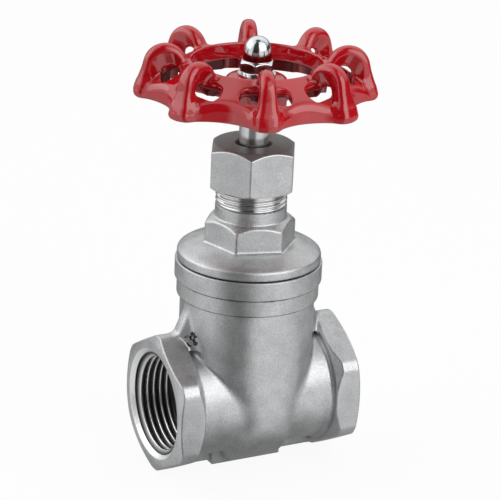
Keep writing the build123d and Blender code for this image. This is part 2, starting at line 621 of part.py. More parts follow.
NODES = {
    "valve_body": valve_body,
    "gate_wedge": gate_wedge,
    "bonnet_gasket": bonnet_gasket,
    "bonnet": bonnet,
    "thrust_washer": thrust_washer,
    "packing_washer": packing_washer,
    "packing_ring_lower": lambda: packing_ring(0),
    "packing_ring_middle": lambda: packing_ring(1),
    "packing_ring_upper": lambda: packing_ring(2),
    "gland_follower": gland_follower,
    "packing_nut": packing_nut,
    "stem": stem,
    "handwheel": handwheel,
    "wheel_washer": wheel_washer,
    "cap_nut": cap_nut,
}

os.makedirs("parts", exist_ok=True)
for node, build in NODES.items():
    export_step(build(), f"parts/{node}.step")
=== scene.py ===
import json
import math

import bpy
import numpy as np
from mathutils import Matrix, Vector


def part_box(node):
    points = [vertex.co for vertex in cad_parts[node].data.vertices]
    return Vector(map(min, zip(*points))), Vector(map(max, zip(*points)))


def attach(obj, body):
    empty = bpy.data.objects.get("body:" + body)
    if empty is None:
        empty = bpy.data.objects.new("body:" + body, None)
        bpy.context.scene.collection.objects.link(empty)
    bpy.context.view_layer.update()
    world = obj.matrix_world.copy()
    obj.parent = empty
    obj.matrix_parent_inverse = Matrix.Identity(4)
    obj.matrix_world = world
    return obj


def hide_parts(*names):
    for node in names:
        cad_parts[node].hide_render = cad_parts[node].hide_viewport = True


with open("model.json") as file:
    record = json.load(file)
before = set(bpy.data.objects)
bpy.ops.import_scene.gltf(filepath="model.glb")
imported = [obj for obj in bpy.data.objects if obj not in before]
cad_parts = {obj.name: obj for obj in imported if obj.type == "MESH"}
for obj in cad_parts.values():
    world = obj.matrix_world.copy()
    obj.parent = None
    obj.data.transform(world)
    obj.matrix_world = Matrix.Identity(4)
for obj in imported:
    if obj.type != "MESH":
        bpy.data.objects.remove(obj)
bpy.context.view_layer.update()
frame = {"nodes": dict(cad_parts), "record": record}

# The looks of a one-inch threaded gate valve. Outer pieces are modelled as signed distances
# (negative inside the material) in millimetres, and meshed where the distance is zero. Every
# length below is in millimetres, in the frame of the CAD model: +Z up the stem, the foot at z = 0.
# Where a comment says nothing else, a place along the pipe is measured from the stem axis.

MM = 0.001


def low_mm(node):
    """Lowest corner of a CAD node, in millimetres."""
    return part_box(node)[0] / MM


def high_mm(node):
    """Highest corner of a CAD node, in millimetres."""
    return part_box(node)[1] / MM


def corner_radius(flats):
    """Distance from the axis of a hexagon to its corners."""
    return flats / 2 / math.cos(math.radians(30))


# --- Places and sizes read from the frame -------------------
MOUNTS = {mount["name"]: mount for mount in frame["record"]["mounts"]}
PIPE_Z = MOUNTS["inlet"]["pos_m"][2] / MM
THREAD_R = MOUNTS["inlet"]["dims"]["r_mm"]  # major radius of the pipe thread
END_X = high_mm("valve_body").x
BODY_TOP = high_mm("valve_body").z
BONNET_Z = BODY_TOP + 0.2    # underside of the bonnet flange
SKIRT_Z = low_mm("bonnet").z
NECK_TOP = high_mm("bonnet").z
NUT_Z = low_mm("packing_nut").z
NUT_TOP = high_mm("packing_nut").z
STEM_TOP = high_mm("stem").z
HUB_Z = low_mm("handwheel").z
HUB_TOP = low_mm("wheel_washer").z
CAP_Z = low_mm("cap_nut").z
CAP_TOP = high_mm("cap_nut").z

# --- Handwheel ----------------------------------------------
# Heights h are over the lower edge of the rim. u runs outwards along a lobe, v across it.
RIM_Z = HUB_Z + 3.7
WHEEL_HEIGHT = 17.0          # of the box in which the wheel is looked for, over RIM_Z
LOBES = 8
FIRST_LOBE = 68.5            # degrees
LOBE_R = 38.2
VALLEY_R = 32.0
SCALLOP_R = 17.5
SCALLOP_ROUND = 3.5
DRAFT = 0.07                 # how much the skirt draws in for each millimetre upwards
INNER_R = 20.5
CREASE_R = 31.5              # where skirt and roof meet
CREASE_RISE = 6.2
CREASE_ROUND = 2.3
ROOF_TOP = 12.1
INNER_DEPTH = 5.8            # height of the inner wall
SHELL = 2.4                  # wall thickness
LOBE_POCKET = (4.5, 2.1)     # half sizes of the hollow inside a lobe, along and across it
EAR_CROWN = (28.7, 10.0)     # (u, h) of the ear's top circle
EAR_CROWN_R = 6.6
EAR_TOE = (36.4, 1.9)        # its foot on the skirt
EAR_TOE_R = 1.9
EAR_HEEL = (22.9, 9.0)       # its foot on the inner wall
EAR_HEEL_R = 2.3
EAR_HALF = 2.2               # half thickness at the top
EAR_TAPER = 0.085            # growth for each millimetre downwards
EAR_FLARE = 0.4              # more half thickness at the lower edge of the rim
EAR_FLARE_TOP = 8.0
EAR_WEB = 0.5                # half thickness where the cheeks are dished deepest
EAR_ROUND = 2.2
DISH_U = 28.3
DISH_TOP = 9.6               # middle of the dish's round top
DISH_R = 4.9
WINDOW_U = 27.15
WINDOW_HALF = 2.85           # along the lobe
WINDOW_REACH = 7.4           # half width across the lobe, near the inner wall
WINDOW_REACH_U = 24.2
WINDOW_SPREAD = 0.12         # how much wider for each millimetre outwards
WINDOW_ROUND = 3.0
WINDOW_TOP = 7.5             # below this the window goes through the ear as well
ARCH_TOP = 10.2              # crown of the arch under an ear
ARCH_R = 2.7
SPOKES = 4
SPOKE_HALF = 3.6
SPOKE_MIDDLE = 2.2           # at the hub; the spoke climbs to the rim
SPOKE_CLIMB = 2.0
SPOKE_DEPTH = 2.5            # half height at the hub
SPOKE_THINNING = 0.2
HUB_R = 9.8
SQUARE_HALF = 3.55           # square hole for the stem

# --- Body ---------------------------------------------------
END_FLATS = 42.0
END_LENGTH = 9.0
END_CORNER_R = PIPE_Z - 0.2  # the foot stands proud of the corners
END_INNER_TURN = (2.6, 2.2)  # turned corners of the hexagon, radial and axial: towards the stem
END_OUTER_TURN = (3.0, 1.1)  # and at the mouth
BARREL_R = 18.75
BARREL_STOP = 4.0            # from the end face
NECK_R = 21.7
CHAMBER_ROUND = 3.0
RINGS_Z = 57.9
RING_STEP_Z = 63.5
LOWER_RING_R = 22.9
UPPER_RING_R = 23.7
RING_ROUND = 0.45
THREAD_LENGTH = 15.0
THREAD_PITCH = 25.4 / 11
THREAD_DEPTH = 1.47
THREAD_INSET = 1.2           # first turn of the thread from the end face
MOUTH_CHAMFER = 1.55
PORT_R = 12.5
SEAT_R = 15.2
SEAT_BACK = 10.5             # of the seat rings, away from the gate
SEAT_GAP = 0.05              # to the closed gate
POCKET_R = 16.2              # room round the closed gate
POCKET_GAP = 2.2             # between a face of the gate and the wall
SHAFT_DROP = 7.5             # how far the way of the gate reaches below the pipe axis
GUIDE = (14.3, 20.0)         # sideways reach of the ribs that guide the gate
GUIDE_HALF = 1.5
GUIDE_STOP = 0.6             # from their top to the bonnet's skirt
SKIRT_R = 18.4
SKIRT_GAP = 0.05
GASKET_R = 20.9
GASKET_SINK = 0.8
CAST_WALL = 3.5
GATE_HALF = 6.4              # half thickness at the pipe axis
GATE_SLOPE = math.tan(math.radians(5))
WAIST_RISE = (-24.0, -15.0, -10.0, -5.0, 0.0, 5.0, 10.0, 15.0, 40.0)  # over the pipe axis
WAIST_CUT = (13.0, 10.5, 7.8, 6.0, 4.2, 1.6, 0.3, 0.0, 0.0)  # off the neck's radius, along X
GUSSET_HALF = 1.8            # half thickness at its outer edge
GUSSET_SPREAD = 0.9          # how much wider for each millimetre inwards
GUSSET_SPREAD_TO = 7.0
GUSSET_SINK = 0.6            # of its outer edge within the neck's radius, at the top
GUSSET_SLOPE = 0.44          # how much further out for each millimetre downwards
GUSSET_FLANK = 0.74          # brings the measure off its flanks near to the true distance
GUSSET_EDGE = 0.87           # the same for its outer edge
GUSSET_FOOT = 19.5           # its foot over the pipe axis
KEEL_Z = 5.0
KEEL_HALF = (END_X - END_LENGTH + 1, 1.6, 4.3)
FOOT_HALF = (12.5, 4.0, 3.0)
PIT_PLACE = (-22.0, -5.5, 46.5)  # a patch of casting pits beside a gusset

# --- Bonnet and packing nut ---------------------------------
SKIRT_CHAMFER = 0.7
SKIRT_BORE_R = 15.4
FLANGE_R = 23.2
FLANGE_THICKNESS = 3.8
FLANGE_RIM = 1.4             # from the flange's radius to where its slope begins
FLANGE_SLOPE_R = 15.6        # where the slope meets the foot of the hexagon
BONNET_HEX_Z = 75.7
BONNET_HEX_TOP = 84.1
BONNET_FLATS = 26.0
BONNET_TURN = 45.6           # degrees
HEX_TURN = (2.6, 1.9)        # turned corners of both hexagons, radial and axial
GLAND_R = 11.47
GLAND_CORE_R = GLAND_R - 0.9
GLAND_THREAD_Z = 88.3
GLAND_PITCH = 1.6
GLAND_THREAD_DEPTH = 0.75
STUFFING_R = 7.6
STUFFING_FLOOR = 80.0
CEILING_Z = 71.5
NUT_FLATS = 25.9
NUT_TURN = 0.8               # degrees
NUT_GAP = 0.05               # round the neck
NUT_BORE_TOP = 105.6
STEM_R = 4.78
STEM_GAP = 0.07
NUT_STEM_GAP = 1.11

# --- Cap nut ------------------------------------------------
CAP_SEAT_R = 4.7
CAP_SEAT_TOP = CAP_Z + 0.5
CAP_HEX_TOP = CAP_SEAT_TOP + 3.6
CAP_FLATS = 10.0
CAP_TURN = 57.0              # degrees
CAP_LOWER_TURN = (0.75, 0.4)    # turned corners, radial and axial
CAP_UPPER_TURN = 0.7         # axial
CAP_SHOULDER_R = 4.9
DOME_R = 4.5                 # at its foot
DOME_TAPER = 0.4
DOME_POWER = 4.4             # the higher, the squarer its shoulders
CAP_BORE_R = 3.0

FINE = 1.0    # coarser meshes while trying things


# === Signed distances =======================================
# In every form r is the distance from the axis of the stem and s from the axis of the pipe.
def join(a, b, blend):
    """Union of two forms, with a soft fillet about as wide as blend."""
    h = np.maximum(blend - np.abs(a - b), 0) / blend
    return np.minimum(a, b) - h * h * blend / 4


def both(a, b, blend):
    """What two forms share, with the edge between them rounded."""
    return -join(-a, -b, blend)


def cut(a, b, blend):
    """The first form without the second, with the edge rounded."""
    return -join(-a, b, blend)


def hexagon(x, y, flats, turn, rounding):
    """Hexagonal prism, with one corner at the angle turn."""
    sides = []
    for k in range(3):
        angle = math.radians(turn + 30 + 60 * k)
        sides.append(np.abs(x * math.cos(angle) + y * math.sin(angle)) - flats / 2)
    return both(both(sides[0], sides[1], rounding), sides[2], rounding)


def turned(r, z, outline, rounding):
    """Convex solid of revolution: the outline runs anticlockwise in (r, z), open at the axis."""
    form = None
    for (r0, z0), (r1, z1) in zip(outline, outline[1:]):
        length = math.hypot(r1 - r0, z1 - z0)
        side = ((r - r0) * (z1 - z0) - (z - z0) * (r1 - r0)) / length
        form = side if form is None else both(form, side, rounding)
    return form


def disc(r, z, radius, low, high, rounding):
    """Turned disc or bar between two heights, with rounded edges."""
    return turned(r, z, ((0, low), (radius, low), (radius, high), (0, high)), rounding)


def slab(value, low, high):
    """Everything whose value lies between two limits."""
    return np.maximum(low - value, value - high)


def block(x, y, z, height, half, rounding):
    """Rectangular block with rounded edges, on the stem axis, with its middle at that height."""
    away = [np.abs(p) - (h - rounding) for p, h in zip((x, y, z - height), half)]
    outside = np.sqrt(sum(np.maximum(a, 0) ** 2 for a in away))
    inside = np.minimum(np.maximum(np.maximum(away[0], away[1]), away[2]), 0)
    return outside + inside - rounding


def cone_plate(u, h, a, b, r0, r1):
    """Flat outline of two circles and their outer tangents: circles at a and b, radii r0 and r1."""
    run_u, run_h = b[0] - a[0], b[1] - a[1]
    square = run_u * run_u + run_h * run_h
    shrink = r0 - r1
    tangent = square - shrink * shrink
    from_u, from_h = u - a[0], h - a[1]
    ahead = from_u * run_u + from_h * run_h      # along the line from a to b
    beyond = ahead - square
    aside = (from_u * square - run_u * ahead) ** 2 + (from_h * square - run_h * ahead) ** 2
    past_a = ahead * ahead * square
    past_b = beyond * beyond * square
    limit = np.sign(shrink) * shrink * shrink * aside
    side = (np.sqrt(aside * tangent / square) + ahead * shrink) / square - r0
    at_b = np.sqrt(aside + past_b) / square - r1
    at_a = np.sqrt(aside + past_a) / square - r0
    near_a = np.where(np.sign(ahead) * tangent * past_a < limit, at_a, side)
    return np.where(np.sign(beyond) * tangent * past_b > limit, at_b, near_a)


# === From a distance field to a mesh ========================
BLOCK = 8                    # cells along the edge of a block
NEAR_CHUNK = 500             # blocks worked out in one go
SLOPE_STEP = 0.02
LARGEST_MOVE = 0.3
CORNERS = np.array([(i, j, k) for i in (0, 1) for j in (0, 1) for k in (0, 1)])
CELL_EDGES = [(a, b) for a in range(8) for b in range(a) if np.abs(CORNERS[a] - CORNERS[b]).sum() == 1]


def sample(field, low, cell, blocks):
    """The field on a regular grid, worked out in full only in blocks that the surface may cross."""
    place = np.argwhere(np.ones(blocks, bool))
    distance = field(*(low + (place + 0.5) * BLOCK * cell).T)
    fill = distance.reshape(blocks)
    for axis in range(3):
        fill = np.repeat(fill, BLOCK, axis)
    grid = np.pad(fill, (0, 1), mode="edge").astype(np.float32)
    near = place[np.abs(distance) < 1.5 * BLOCK * cell]
    steps = np.argwhere(np.ones((BLOCK + 1,) * 3, bool))
    for start in range(0, len(near), NEAR_CHUNK):
        points = near[start:start + NEAR_CHUNK, None, :] * BLOCK + steps[None]
        points = points.reshape(-1, 3)
        grid[tuple(points.T)] = field(*(low + points * cell).T)
    return grid


def surface(field, low, high, cell):
    """Points and quads of the surface where the field is zero: one point for each cell it crosses."""
    low = np.array(low) - 1.5 * cell
    blocks = np.ceil((np.array(high) + 1.5 * cell - low) / (cell * BLOCK)).astype(int)
    grid = sample(field, low, cell, blocks)
    inside = grid < 0
    size = np.array(grid.shape) - 1
    corner_sum = sum(inside[tuple(slice(c, c + n) for c, n in zip(corner, size))].astype(np.int8)
                     for corner in CORNERS)
    crossed = (corner_sum > 0) & (corner_sum < 8)
    cells = np.argwhere(crossed)
    number = np.full(size, -1, np.int32)
    number[crossed] = np.arange(len(cells))
    values = np.stack([grid[tuple((cells + corner).T)] for corner in CORNERS], 1)
    total = np.zeros((len(cells), 3))
    count = np.zeros(len(cells))
    for a, b in CELL_EDGES:
        hit = (values[:, a] < 0) != (values[:, b] < 0)
        share = values[hit, a] / (values[hit, a] - values[hit, b])
        total[hit] += CORNERS[a] + share[:, None] * (CORNERS[b] - CORNERS[a])
        count[hit] += 1
    points = low + (cells + total / count[:, None]) * cell
    quads = []
    for axis in range(3):
        ahead, side, other = np.eye(3, dtype=int)[[axis, (axis + 1) % 3, (axis + 2) % 3]]
        near = inside[tuple(slice(0, n) for n in size)]
        far = inside[tuple(slice(s, s + n) for s, n in zip(ahead, size))]
        edges = np.argwhere(near != far)
        edges = edges[(edges[:, (axis + 1) % 3] > 0) & (edges[:, (axis + 2) % 3] > 0)]
        ring = [number[tuple((edges - step).T)] for step in (side + other, other, side * 0, side)]
        quad = np.stack(ring, 1)
        outwards = near[tuple(edges.T)]
        quads.append(np.where(outwards[:, None], quad, quad[:, ::-1]))
    return points, np.concatenate(quads)


def slope(field, points):
    """Gradient of the field at some points."""
    columns = []
    for axis in range(3):
        shift = np.zeros(3)
        shift[axis] = SLOPE_STEP
        columns.append((field(*(points + shift).T) - field(*(points - shift).T)) / (2 * SLOPE_STEP))
    return np.stack(columns, 1)


def settle(field, points, passes=3):
    """Moves points onto the surface; returns them with their outward normals."""
    for _ in range(passes):
        gradient = slope(field, points)
        square = np.maximum((gradient ** 2).sum(1), 0.05)
        move = gradient * (field(*points.T) / square)[:, None]
        far = np.linalg.norm(move, axis=1)
        points = points - move * np.minimum(1, LARGEST_MOVE / np.maximum(far, 1e-9))[:, None]
    gradient = slope(field, points)
    return points, gradient / np.maximum(np.linalg.norm(gradient, axis=1), 1e-9)[:, None]


def add_mesh(name, points_mm, faces, normals=None):
    """A mesh object from points in millimetres and quads or triangles of point numbers."""
    mesh = bpy.data.meshes.new(name)
    faces = np.asarray(faces, np.int32)
    mesh.vertices.add(len(points_mm))
    mesh.vertices.foreach_set("co", (np.asarray(points_mm) * MM).astype(np.float32).ravel())
    mesh.loops.add(faces.size)
    mesh.loops.foreach_set("vertex_index", faces.ravel())
    mesh.polygons.add(len(faces))
    mesh.polygons.foreach_set("loop_start", np.arange(len(faces), dtype=np.int32) * faces.shape[1])
    mesh.update(calc_edges=True)
    mesh.validate()
    mesh.shade_smooth()
    if normals is not None:
        mesh.normals_split_custom_set_from_vertices(normals.tolist())
    made = bpy.data.objects.new(name, mesh)
    bpy.context.scene.collection.objects.link(made)
    return made


def thinned(made, keep):
    """Points and triangles of the object after flat stretches have lost points."""
    made.modifiers.new("flat stretches", "DECIMATE").ratio = keep
    graph = bpy.context.evaluated_depsgraph_get()
    mesh = bpy.data.meshes.new_from_object(made.evaluated_get(graph))
    points = np.empty(len(mesh.vertices) * 3)
    mesh.vertices.foreach_get("co", points)
    mesh.calc_loop_triangles()
    triangles = np.empty(len(mesh.loop_triangles) * 3, np.int32)
    mesh.loop_triangles.foreach_get("vertices", triangles)
    bpy.data.objects.remove(made)
    return points.reshape(-1, 3) / MM, triangles.reshape(-1, 3)


def modelled(name, field, low, high, cell, keep):
    """A mesh object of the form that a field describes, with exact normals. cell is the size of the
    grid in millimetres and keep the share of triangles that stays."""
    points, faces = surface(field, low, high, cell * FINE)
    points, faces = thinned(add_mesh(name, settle(field, points, 1)[0], faces), keep)
    points, normals = settle(field, points)
    return add_mesh(name, points, faces, normals)


def woven(name, points, rings, segments):
    """A mesh from rings of points, each ring joined to the next and the last to the first."""
    ring, spot = np.meshgrid(np.arange(rings), np.arange(segments), indexing="ij")
    after, along = (ring + 1) % rings, (spot + 1) % segments
    quads = np.stack([ring * segments + spot, ring * segments + along,
                      after * segments + along, after * segments + spot], -1)
    return add_mesh(name, points, quads.reshape(-1, 4))


# === Handwheel ==============================================
def lobe_frame(x, y, count):
    """Distance from the stem, and place along and across the nearest of count arms of the wheel."""
    r = np.hypot(x, y)
    pitch = 2 * math.pi / count
    angle = np.arctan2(y, x) - math.radians(FIRST_LOBE)
    angle = (angle + pitch / 2) % pitch - pitch / 2
    return r, r * np.cos(angle), np.abs(r * np.sin(angle))


def rim_form(r, u, v, h):
    """Rim: a scalloped skirt under a sloping roof, hollow from below, with an inner wall."""
    valley_u = (VALLEY_R + SCALLOP_R) * math.cos(math.pi / LOBES)
    valley_v = (VALLEY_R + SCALLOP_R) * math.sin(math.pi / LOBES)
    scallop = SCALLOP_R - np.hypot(u - valley_u, v - valley_v)
    plan = both(r - LOBE_R, scallop, SCALLOP_ROUND) + DRAFT * h
    pitch = math.atan2(ROOF_TOP - CREASE_RISE, CREASE_R - INNER_R)
    roof = (h - CREASE_RISE) * math.cos(pitch) + (r - CREASE_R) * math.sin(pitch)
    form = both(both(plan, roof, CREASE_ROUND), INNER_R - r, 1.2)
    form = both(form, -h, 1.5)
    channel = both(both(r - (VALLEY_R - SHELL), roof + SHELL, 1.5), INNER_R + SHELL - r, 1.5)
    form = cut(form, channel, 0.8)
    below_wall = np.maximum(r - INNER_R - SHELL, h - (ROOF_TOP - INNER_DEPTH))
    form = cut(form, below_wall, 0.8)
    pocket = both(np.abs(u - VALLEY_R + SHELL) - LOBE_POCKET[0], v - LOBE_POCKET[1], 1.5)
    return cut(form, np.maximum(pocket, h - CREASE_RISE + SHELL), 0.8)


def ear_form(u, v, h):
    """Ear: an upright arch with a round back, dished on both cheeks, that widens downwards."""
    profile = cone_plate(u, h, EAR_CROWN, EAR_TOE, EAR_CROWN_R, EAR_TOE_R)
    heel = cone_plate(u, h, EAR_CROWN, EAR_HEEL, EAR_CROWN_R, EAR_HEEL_R)
    profile = join(profile, heel, 1.0)
    arch = np.hypot(u - WINDOW_U, np.maximum(h - ARCH_TOP + ARCH_R, 0)) - ARCH_R
    dish = np.hypot(u - DISH_U, np.maximum(h - DISH_TOP, 0)) - DISH_R
    share = np.clip(arch / np.maximum(arch - dish, 0.1), 0, 1)
    drop = EAR_CROWN[1] + EAR_CROWN_R - h
    edge = EAR_HALF + EAR_TAPER * drop + EAR_FLARE * np.clip(1 - h / EAR_FLARE_TOP, 0, 1)
    half = EAR_WEB + (edge - EAR_WEB) * share ** 1.5
    form = both(both(profile, v - half, EAR_ROUND), -arch, 0.7)
    return both(form, -h, 1.5)


def spoke_form(x, y, z):
    """The spokes, climbing from the hub to the rim."""
    _, along, across = lobe_frame(x, y, SPOKES)
    rise = np.clip((along - HUB_R) / (INNER_R - HUB_R), 0, 1)
    middle = RIM_Z + SPOKE_MIDDLE + SPOKE_CLIMB * rise
    depth = SPOKE_DEPTH - SPOKE_THINNING * rise
    arm = both(np.abs(z - middle) - depth, across - SPOKE_HALF, 2.4)
    return np.maximum(arm, slab(along, HUB_R / 2, INNER_R + SHELL / 2))


def wheel_field(x, y, z):
    """Cast handwheel: rim, eight ears over their windows, spokes and hub."""
    h = z - RIM_Z
    r, u, v = lobe_frame(x, y, LOBES)
    reach = WINDOW_REACH + WINDOW_SPREAD * (u - WINDOW_REACH_U)
    window = both(np.abs(u - WINDOW_U) - WINDOW_HALF, v - reach, WINDOW_ROUND)
    form = cut(rim_form(r, u, v, h), window, 0.7)
    outwards = np.clip((u - CREASE_R + 0.5) / 3, 0, 1)
    upwards = np.clip((h - 2.5) / 2, 0, 1)
    form = join(form, ear_form(u, v, h), 1.5 + 1.2 * outwards * upwards)
    form = cut(form, np.maximum(window, h - WINDOW_TOP), 0.6)
    form = join(form, spoke_form(x, y, z), 1.6)
    form = join(form, disc(r, z, HUB_R, HUB_Z, HUB_TOP, 1.8), 1.2)
    square = both(np.abs(x), np.abs(y), 0.3) - SQUARE_HALF
    return np.maximum(form, -square)


def make_handwheel():
    reach = LOBE_R + 0.5
    low, high = (-reach, -reach, HUB_Z), (reach, reach, RIM_Z + WHEEL_HEIGHT)
    wheel = modelled("handwheel_cast", wheel_field, low, high, cell=0.36, keep=0.5)
    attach(wheel, "spindle")
    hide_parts("handwheel")
    return wheel


# === Body ===================================================
def waist_table():
    """Cut of the chamber in X against the rise over the pipe, smoothed."""
    rise = np.arange(-30, 50, 0.25)
    value = np.interp(rise, WAIST_RISE, WAIST_CUT)
    for _ in range(2):
        value = np.convolve(np.pad(value, 8, mode="edge"), np.full(17, 1 / 17), mode="valid")
    return rise, value


WAIST = waist_table()


def chamber_form(x, y, z, inset):
    """Chamber: round at the neck, narrow along the pipe at the port, rounded under the pipe."""
    across = NECK_R - inset
    along = across - np.interp(z - PIPE_Z, *WAIST)
    near = np.hypot(x / along, y / across)
    steep = np.hypot(x / along ** 2, y / across ** 2)
    side = near * (near - 1) / np.maximum(steep, 1e-6)
    below = np.hypot(y, np.minimum(z - PIPE_Z, 0)) - (across + 0.3)
    return both(np.maximum(side, z - RINGS_Z - 0.5), below, CHAMBER_ROUND)


def pipe_end_form(x, y, z):
    """Both hexagon ends, turned at the corners."""
    s = np.hypot(y, z - PIPE_Z)
    start = END_X - END_LENGTH
    outline = (
        (0, start),
        (END_CORNER_R - END_INNER_TURN[0], start),
        (END_CORNER_R, start + END_INNER_TURN[1]),
        (END_CORNER_R, END_X - END_OUTER_TURN[1]),
        (END_CORNER_R - END_OUTER_TURN[0], END_X),
        (0, END_X),
    )
    return both(turned(s, np.abs(x), outline, 0.3), hexagon(z - PIPE_Z, y, END_FLATS, 0, 0.35), 0.4)


def body_space(x, y, z):
    """Everything hollow in the body: threads, port, gate pocket and the bore for the bonnet."""
    s = np.hypot(y, z - PIPE_Z)
    r = np.hypot(x, y)
    away = np.abs(x)
    thread = np.maximum(s - THREAD_R, END_X - THREAD_LENGTH - away)
    mouth = np.maximum(s - THREAD_R - MOUTH_CHAMFER + (END_X - away), END_X - MOUTH_CHAMFER - away)
    seat_face = GATE_HALF + (z - PIPE_Z) * GATE_SLOPE
    pocket = np.maximum(s - POCKET_R, away - seat_face - POCKET_GAP)
    shaft = np.maximum(chamber_form(x, y, z, CAST_WALL), PIPE_Z - SHAFT_DROP - z)
    neck = np.maximum(r - NECK_R + CAST_WALL, slab(z, RINGS_Z, SKIRT_Z))
    space = np.minimum(pocket, np.minimum(shaft, neck))
    seats = np.maximum(np.maximum(s - SEAT_R, away - SEAT_BACK), seat_face + SEAT_GAP - away)
    guides = np.maximum(slab(np.abs(y), *GUIDE), away - GUIDE_HALF)
    guides = np.maximum(guides, slab(z, PIPE_Z - SHAFT_DROP, SKIRT_Z - GUIDE_STOP))
    space = np.maximum(space, -np.minimum(seats, guides))
    bore = np.maximum(r - SKIRT_R - SKIRT_GAP, slab(z, SKIRT_Z - 0.3, BODY_TOP + 1))
    recess = np.maximum(r - GASKET_R, slab(z, BODY_TOP - GASKET_SINK, BODY_TOP + 1))
    port = np.maximum(s - PORT_R, away - END_X)
    for part in (bore, recess, port, thread, mouth):
        space = np.minimum(space, part)
    return space


def gusset_form(x, y, z):
    """Two wedges that stiffen the chamber over the pipe ends."""
    away = np.abs(x)
    brink = NECK_R - GUSSET_SINK + (RINGS_Z - 1 - z) * GUSSET_SLOPE - away
    half = GUSSET_HALF + GUSSET_SPREAD * np.clip(brink, -2, GUSSET_SPREAD_TO)
    wedge = both((np.abs(y) - half) * GUSSET_FLANK, -brink * GUSSET_EDGE, 0.8)
    return np.maximum(wedge, np.maximum(slab(z, PIPE_Z + GUSSET_FOOT, RINGS_Z + 1), NECK_R - 5 - away))


def body_field(x, y, z):
    """Cast body: threaded hexagon ends, waisted chamber, gussets, keel, foot and two rings."""
    r = np.hypot(x, y)
    barrel = np.maximum(np.hypot(y, z - PIPE_Z) - BARREL_R, np.abs(x) - END_X + BARREL_STOP)
    form = join(chamber_form(x, y, z, 0), barrel, 1.3)
    form = join(form, gusset_form(x, y, z), 0.8)
    keel = block(x, y, z, KEEL_Z, KEEL_HALF, 0.4)
    foot = block(x, y, z, FOOT_HALF[2], FOOT_HALF, 0.5)
    form = join(form, join(keel, foot, 0.8), 1.2)
    form = join(form, pipe_end_form(x, y, z), 1.6)
    form = join(form, disc(r, z, LOWER_RING_R, RINGS_Z, RING_STEP_Z + 1, RING_ROUND), 0.35)
    form = join(form, disc(r, z, UPPER_RING_R, RING_STEP_Z, BODY_TOP, RING_ROUND), 0.1)
    return both(form, -body_space(x, y, z), 0.3)


def make_body():
    low, high = low_mm("valve_body"), high_mm("valve_body")
    body = modelled("valve_body_cast", body_field, low, high, cell=0.42, keep=0.45)
    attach(body, "housing")
    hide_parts("valve_body")
    return body


# === Bonnet and nuts ========================================
def bonnet_field(x, y, z):
    """Screwed bonnet: threaded skirt, rounded flange, hexagon, and the neck of the stuffing box."""
    r = np.hypot(x, y)
    skirt = (
        (0, SKIRT_Z),
        (SKIRT_R - SKIRT_CHAMFER, SKIRT_Z),
        (SKIRT_R, SKIRT_Z + SKIRT_CHAMFER),
        (SKIRT_R, BONNET_Z + 1),
        (0, BONNET_Z + 1),
    )
    flange_top = BONNET_Z + FLANGE_THICKNESS
    flange = (
        (0, BONNET_Z),
        (FLANGE_R - 0.3, BONNET_Z),
        (FLANGE_R, BONNET_Z + 0.5),
        (FLANGE_R - 0.1, flange_top - 1.0),
        (FLANGE_R - FLANGE_RIM, flange_top),
        (FLANGE_SLOPE_R, BONNET_HEX_Z),
        (0, BONNET_HEX_Z),
    )
    corner = corner_radius(BONNET_FLATS)
    bar = (
        (0, BONNET_Z + 1),
        (corner, BONNET_Z + 1),
        (corner, BONNET_HEX_TOP - HEX_TURN[1]),
        (corner - HEX_TURN[0], BONNET_HEX_TOP),
        (0, BONNET_HEX_TOP),
    )
    form = np.minimum(turned(r, z, skirt, 0.3), turned(r, z, flange, 0.5))
    hexed = both(turned(r, z, bar, 0.4), hexagon(x, y, BONNET_FLATS, BONNET_TURN, 0.5), 0.5)
    form = join(form, hexed, 1.0)
    neck = np.maximum(r - GLAND_R, slab(z, BONNET_HEX_Z, GLAND_THREAD_Z))
    form = join(form, neck, 0.9)
    form = np.minimum(form, disc(r, z, GLAND_CORE_R, BONNET_HEX_Z, NECK_TOP, 0.3))
    space = np.maximum(r - SKIRT_BORE_R, slab(z, SKIRT_Z - 1, CEILING_Z))
    space = np.minimum(space, np.maximum(r - STUFFING_R, slab(z, STUFFING_FLOOR, NECK_TOP + 1)))
    space = np.minimum(space, np.maximum(r - STEM_R - STEM_GAP, slab(z, CEILING_Z - 1, NECK_TOP)))
    return both(form, -space, 0.3)


def nut_field(x, y, z):
    """Packing nut: hexagon, turned less at its lower end, bored for the bonnet neck and the stem."""
    r = np.hypot(x, y)
    corner = corner_radius(NUT_FLATS)
    outline = (
        (0, NUT_Z),
        (corner - HEX_TURN[0] / 2, NUT_Z),
        (corner, NUT_Z + HEX_TURN[1] / 2),
        (corner, NUT_TOP - HEX_TURN[1]),
        (corner - HEX_TURN[0], NUT_TOP),
        (0, NUT_TOP),
    )
    form = both(turned(r, z, outline, 0.25), hexagon(x, y, NUT_FLATS, NUT_TURN, 0.35), 0.3)
    bore = np.maximum(r - GLAND_R - NUT_GAP, slab(z, NUT_Z - 1, NUT_BORE_TOP))
    hole = np.maximum(r - STEM_R - NUT_STEM_GAP, slab(z, NUT_BORE_TOP - 1, NUT_TOP + 1))
    return both(form, -np.minimum(bore, hole), 0.35)


def dome_form(r, z):
    """Dome of the cap nut: nearly upright at its foot, round at the top."""
    height = CAP_TOP - CAP_HEX_TOP
    climb = np.clip((z - CAP_HEX_TOP) / height, 0, 1.2)
    width = DOME_R - DOME_TAPER * climb
    upwards = (DOME_POWER * climb ** (DOME_POWER - 1) + (r / width) ** 2 / width) / height
    steep = np.hypot(2 * r / width ** 2, upwards)
    return ((r / width) ** 2 + climb ** DOME_POWER - 1) / np.maximum(steep, 0.1)


